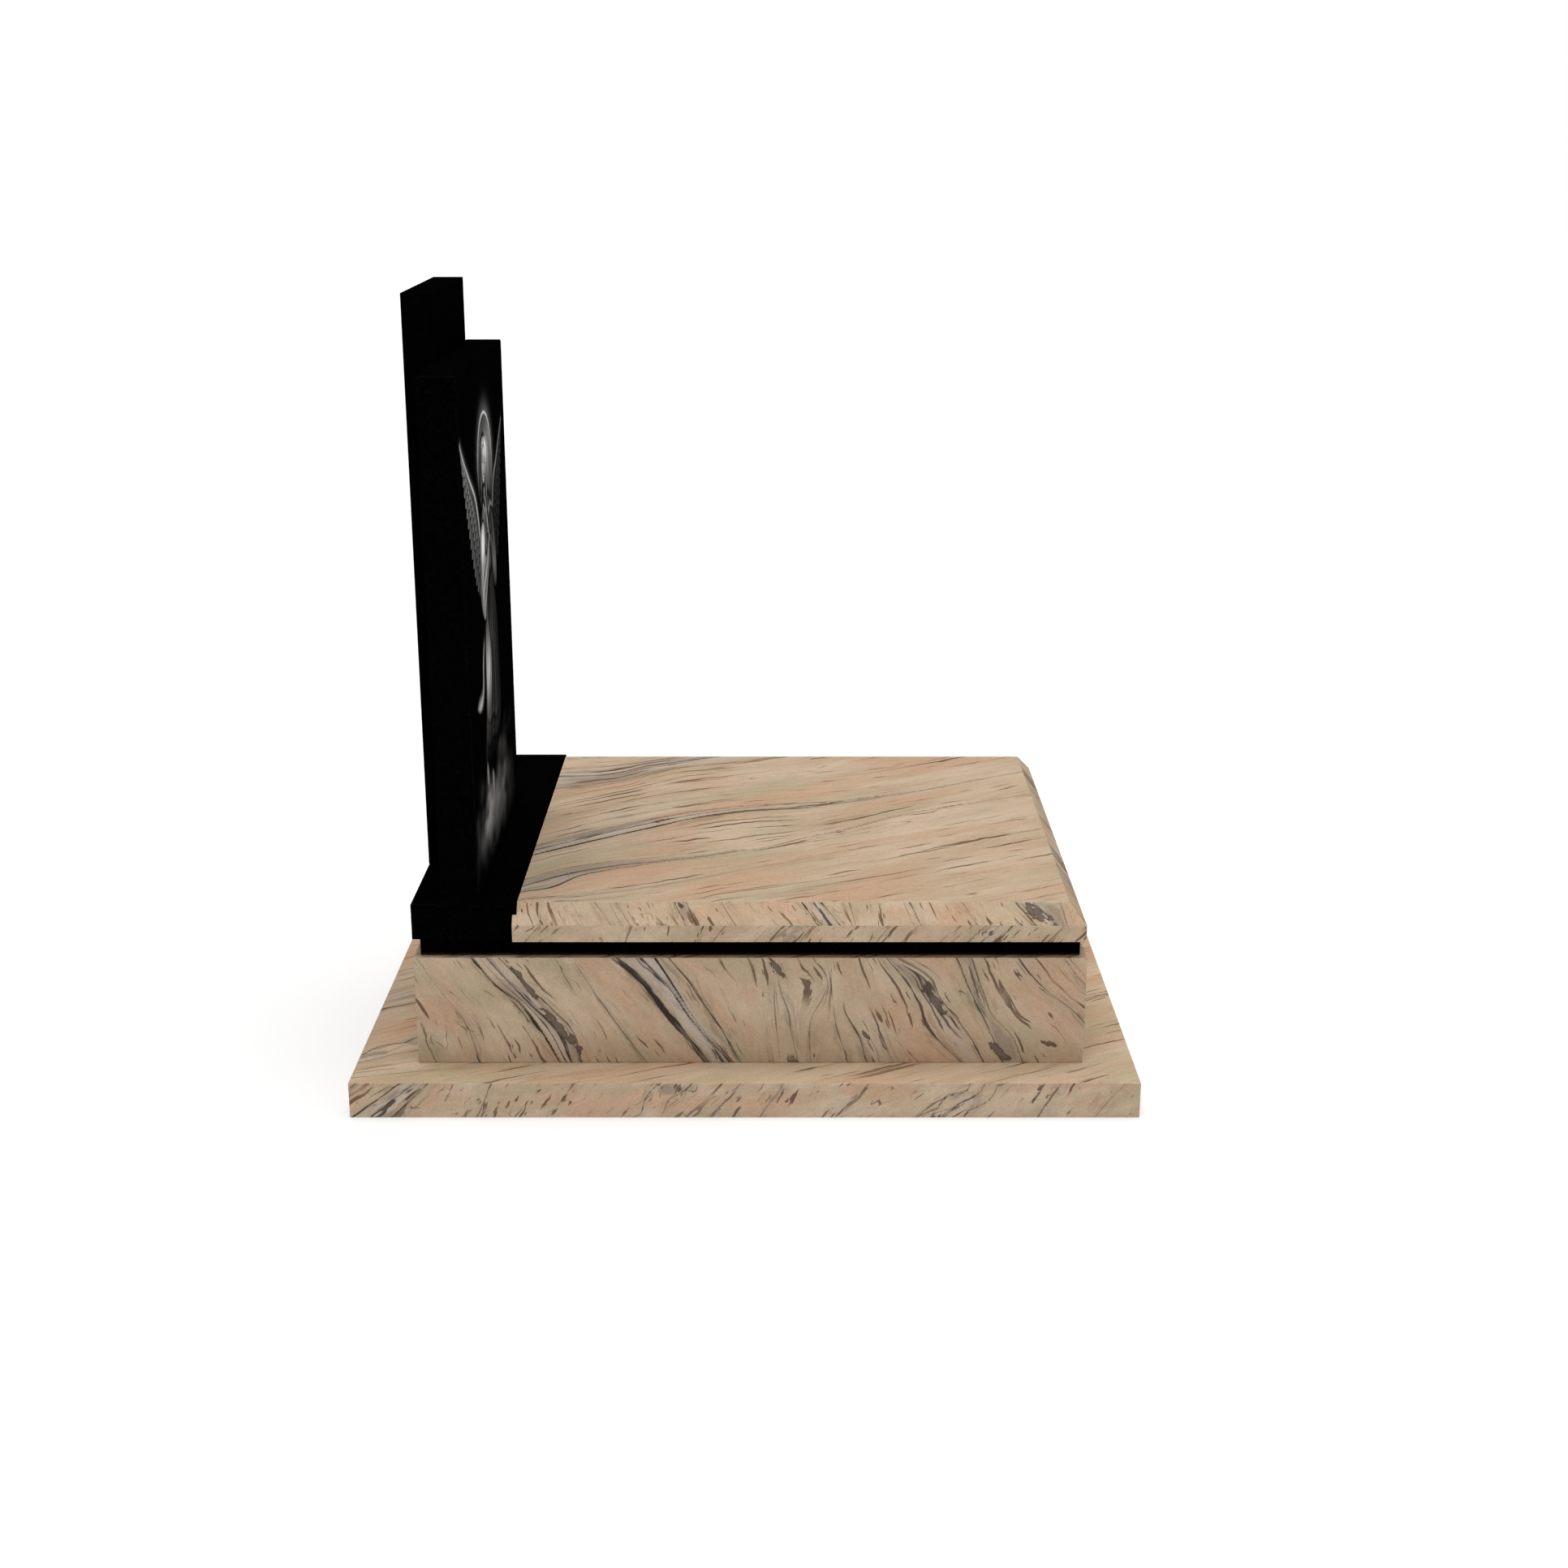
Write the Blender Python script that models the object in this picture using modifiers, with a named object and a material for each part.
"""Angel headstone: a stone grave surround with a black stele at its head.

The work stands on a broad plinth slab. On it a hollow curb of four sandy granite slabs
carries a recessed band of four black strips. On the band lie a black base block, at the
head, and a sandy cover slab with chamfered edges, which fits round the base block. The
stele is two upright black slabs, back to back: a tall narrow one behind, and a broader,
lower one in front, whose polished face carries the picture of the angel.

Metres, +Z up. The origin is the centre of the plinth's underside. The foot of the grave
lies towards -Y, and the picture faces that way.
"""

import bpy
import bmesh

# Colour and roughness of each stone
STONES = {
    "sandy_granite": ((0.66, 0.45, 0.29), 0.35),
    "black_granite": ((0.004, 0.004, 0.005), 0.08),
}

# Gap between stones that touch, and the eased edge of a sawn slab
JOINT_GAP = 0.0003
ARRIS = 0.002

# Curb, a hollow frame of four slabs
CURB_LENGTH = 1.797
CURB_WIDTH = 1.400
CURB_HEIGHT = 0.305
CURB_WALL = 0.080

# Plinth, which stands out past the curb
PLINTH_THICKNESS = 0.100
PLINTH_HEAD_MARGIN = 0.167
PLINTH_FOOT_MARGIN = 0.138
PLINTH_SIDE_MARGIN = 0.130

# Black band between the curb and the top course, set back from the curb's faces
BAND_HEIGHT = 0.051
BAND_INSET = 0.018
BAND_WALL = 0.050

# Top course: the base block and the cover slab share its thickness
TOP_COURSE_THICKNESS = 0.099
BASE_LENGTH = 0.280
COVER_SIDE_OVERHANG = 0.020
COVER_FOOT_SETBACK = 0.007
COVER_EDGE_HEIGHT = 0.047
COVER_CHAMFER_RUN = 0.044
COVER_EAR_LENGTH = 0.0115

# Tall slab at the back of the stele
REAR_SLAB_WIDTH = 0.556
REAR_SLAB_HEIGHT = 1.557
REAR_SLAB_THICKNESS = 0.0845
REAR_SLAB_LEFT_MARGIN = 0.3204

# Broad slab at the front of the stele, with the picture
ANGEL_SLAB_WIDTH = 0.896
ANGEL_SLAB_HEIGHT = 1.384
ANGEL_SLAB_THICKNESS = 0.100
ANGEL_SLAB_ARRIS = 0.004

# Plan, from the plinth inwards
plinth_half_length = (CURB_LENGTH + PLINTH_HEAD_MARGIN + PLINTH_FOOT_MARGIN) / 2
plinth_half_width = CURB_WIDTH / 2 + PLINTH_SIDE_MARGIN
curb_half_width = CURB_WIDTH / 2
curb_foot_y = -plinth_half_length + PLINTH_FOOT_MARGIN
curb_head_y = curb_foot_y + CURB_LENGTH
base_front_y = curb_head_y - BASE_LENGTH

# Levels, from the ground up
curb_bottom_z = PLINTH_THICKNESS + JOINT_GAP
curb_top_z = curb_bottom_z + CURB_HEIGHT
band_bottom_z = curb_top_z + JOINT_GAP
band_top_z = band_bottom_z + BAND_HEIGHT
course_bottom_z = band_top_z + JOINT_GAP
course_top_z = course_bottom_z + TOP_COURSE_THICKNESS
stele_bottom_z = course_top_z + JOINT_GAP


def clear_scene():
    """Start from an empty scene."""
    for ob in list(bpy.data.objects):
        bpy.data.objects.remove(ob, do_unlink=True)


def new_collection(name):
    """A collection linked to the scene."""
    collection = bpy.data.collections.new(name)
    bpy.context.scene.collection.children.link(collection)
    return collection


def move_to(ob, collection):
    """Put an object in one collection only."""
    for old in list(ob.users_collection):
        old.objects.unlink(ob)
    collection.objects.link(ob)


def stone_material(piece_name, stone):
    """A Principled material of the piece's own, in the colour of its stone."""
    colour, roughness = STONES[stone]
    material = bpy.data.materials.new(f"{piece_name}_{stone}")
    material.use_nodes = True
    shader = material.node_tree.nodes["Principled BSDF"]
    shader.inputs["Base Color"].default_value = (*colour, 1.0)
    shader.inputs["Roughness"].default_value = roughness
    shader.inputs["Metallic"].default_value = 0.0
    return material


def cube_between(name, x_span, y_span, z_span, collection):
    """A cube primitive stretched between three spans, with its scale applied."""
    spans = (x_span, y_span, z_span)
    centre = [(low + high) / 2 for low, high in spans]
    bpy.ops.mesh.primitive_cube_add(size=1, location=centre)
    ob = bpy.context.object
    ob.name = name
    ob.scale = [high - low for low, high in spans]
    bpy.ops.object.transform_apply(location=False, rotation=False, scale=True)
    move_to(ob, collection)
    return ob


def add_slab(name, x_span, y_span, z_span, stone, arris=ARRIS):
    """One sawn slab of stone with its edges eased, as a mason leaves them."""
    ob = cube_between(name, x_span, y_span, z_span, parts)
    ob.data.materials.append(stone_material(name, stone))
    bevel = ob.modifiers.new("Eased edges", "BEVEL")
    bevel.width = arris
    bevel.segments = 2
    bevel.limit_method = "ANGLE"
    return ob


def add_frame_of_slabs(prefix, half_width, foot_y, head_y, z_span, wall, stone):
    """A rectangle of four slabs: two full-length sides, and two ends fitted between them."""
    inner_half_width = half_width - wall
    for side, sign in (("left", -1), ("right", 1)):
        x_span = sorted((sign * inner_half_width, sign * half_width))
        add_slab(f"{prefix}_side_{side}", x_span, (foot_y, head_y), z_span, stone)
    end_half_width = inner_half_width - JOINT_GAP
    x_span = (-end_half_width, end_half_width)
    add_slab(f"{prefix}_foot", x_span, (foot_y, foot_y + wall), z_span, stone)
    add_slab(f"{prefix}_head", x_span, (head_y - wall, head_y), z_span, stone)


def add_plinth():
    """The broad slab that the whole work stands on."""
    x_span = (-plinth_half_width, plinth_half_width)
    y_span = (-plinth_half_length, plinth_half_length)
    add_slab("plinth_slab", x_span, y_span, (0.0, PLINTH_THICKNESS), "sandy_granite")


def add_curb():
    """The hollow curb on the plinth."""
    z_span = (curb_bottom_z, curb_top_z)
    add_frame_of_slabs(
        "curb", curb_half_width, curb_foot_y, curb_head_y, z_span, CURB_WALL, "sandy_granite"
    )


def add_band():
    """The black strips between the curb and the top course."""
    half_width = curb_half_width - BAND_INSET
    foot_y = curb_foot_y + BAND_INSET
    head_y = curb_head_y - BAND_INSET
    z_span = (band_bottom_z, band_top_z)
    add_frame_of_slabs("band", half_width, foot_y, head_y, z_span, BAND_WALL, "black_granite")


def add_base_block():
    """The black block under the stele, flush with the curb on three sides."""
    x_span = (-curb_half_width, curb_half_width)
    y_span = (base_front_y, curb_head_y)
    add_slab("base_block", x_span, y_span, (course_bottom_z, course_top_z), "black_granite")


def raise_chamfered_top(ob, rise, run):
    """Raise the slab's top face, drawn in by the run on both sides and at the foot."""
    bm = bmesh.new()
    bm.from_mesh(ob.data)
    top_faces = [face for face in bm.faces if face.normal.z > 0.5]
    raised = bmesh.ops.extrude_face_region(bm, geom=top_faces)
    for vert in [item for item in raised["geom"] if isinstance(item, bmesh.types.BMVert)]:
        # The slab's own origin is its centre, so a sign tells the sides apart
        vert.co.x += -run if vert.co.x > 0 else run
        vert.co.y += run if vert.co.y < 0 else 0.0
        vert.co.z += rise
    bmesh.ops.delete(bm, geom=top_faces, context="FACES_ONLY")
    bmesh.ops.recalc_face_normals(bm, faces=bm.faces[:])
    bm.to_mesh(ob.data)
    bm.free()


def add_cover_slab():
    """The cover: chamfered on both sides and at the foot, and notched round the base block."""
    half_width = curb_half_width + COVER_SIDE_OVERHANG
    foot_y = curb_foot_y + COVER_FOOT_SETBACK
    ear_y = base_front_y + COVER_EAR_LENGTH
    z_span = (course_bottom_z, course_bottom_z + COVER_EDGE_HEIGHT)
    ob = add_slab("cover_slab", (-half_width, half_width), (foot_y, ear_y), z_span, "sandy_granite")
    raise_chamfered_top(ob, TOP_COURSE_THICKNESS - COVER_EDGE_HEIGHT, COVER_CHAMFER_RUN)

    # The notch for the base block leaves an ear on each side of it
    beyond = TOP_COURSE_THICKNESS
    notch_half_width = curb_half_width + JOINT_GAP
    cutter = cube_between(
        "cover_notch",
        (-notch_half_width, notch_half_width),
        (base_front_y - JOINT_GAP, ear_y + beyond),
        (course_bottom_z - beyond, course_top_z + beyond),
        cutters,
    )
    cutter.display_type = "WIRE"
    cutter.hide_render = True
    notch = ob.modifiers.new("Notch for the base block", "BOOLEAN")
    notch.operation = "DIFFERENCE"
    notch.solver = "EXACT"
    notch.object = cutter


def add_stele():
    """The two upright slabs on the base block, flush at the right, the rear one at the block's back."""
    rear_left_x = -curb_half_width + REAR_SLAB_LEFT_MARGIN
    right_x = rear_left_x + REAR_SLAB_WIDTH
    rear_front_y = curb_head_y - REAR_SLAB_THICKNESS
    x_span = (rear_left_x, right_x)
    z_span = (stele_bottom_z, stele_bottom_z + REAR_SLAB_HEIGHT)
    add_slab("headstone_rear_slab", x_span, (rear_front_y, curb_head_y), z_span, "black_granite")

    angel_back_y = rear_front_y - JOINT_GAP
    x_span = (right_x - ANGEL_SLAB_WIDTH, right_x)
    y_span = (angel_back_y - ANGEL_SLAB_THICKNESS, angel_back_y)
    z_span = (stele_bottom_z, stele_bottom_z + ANGEL_SLAB_HEIGHT)
    add_slab("headstone_angel_slab", x_span, y_span, z_span, "black_granite", ANGEL_SLAB_ARRIS)


clear_scene()
parts = new_collection("angel_headstone")
cutters = new_collection("cutters")
add_plinth()
add_curb()
add_band()
add_base_block()
add_cover_slab()
add_stele()
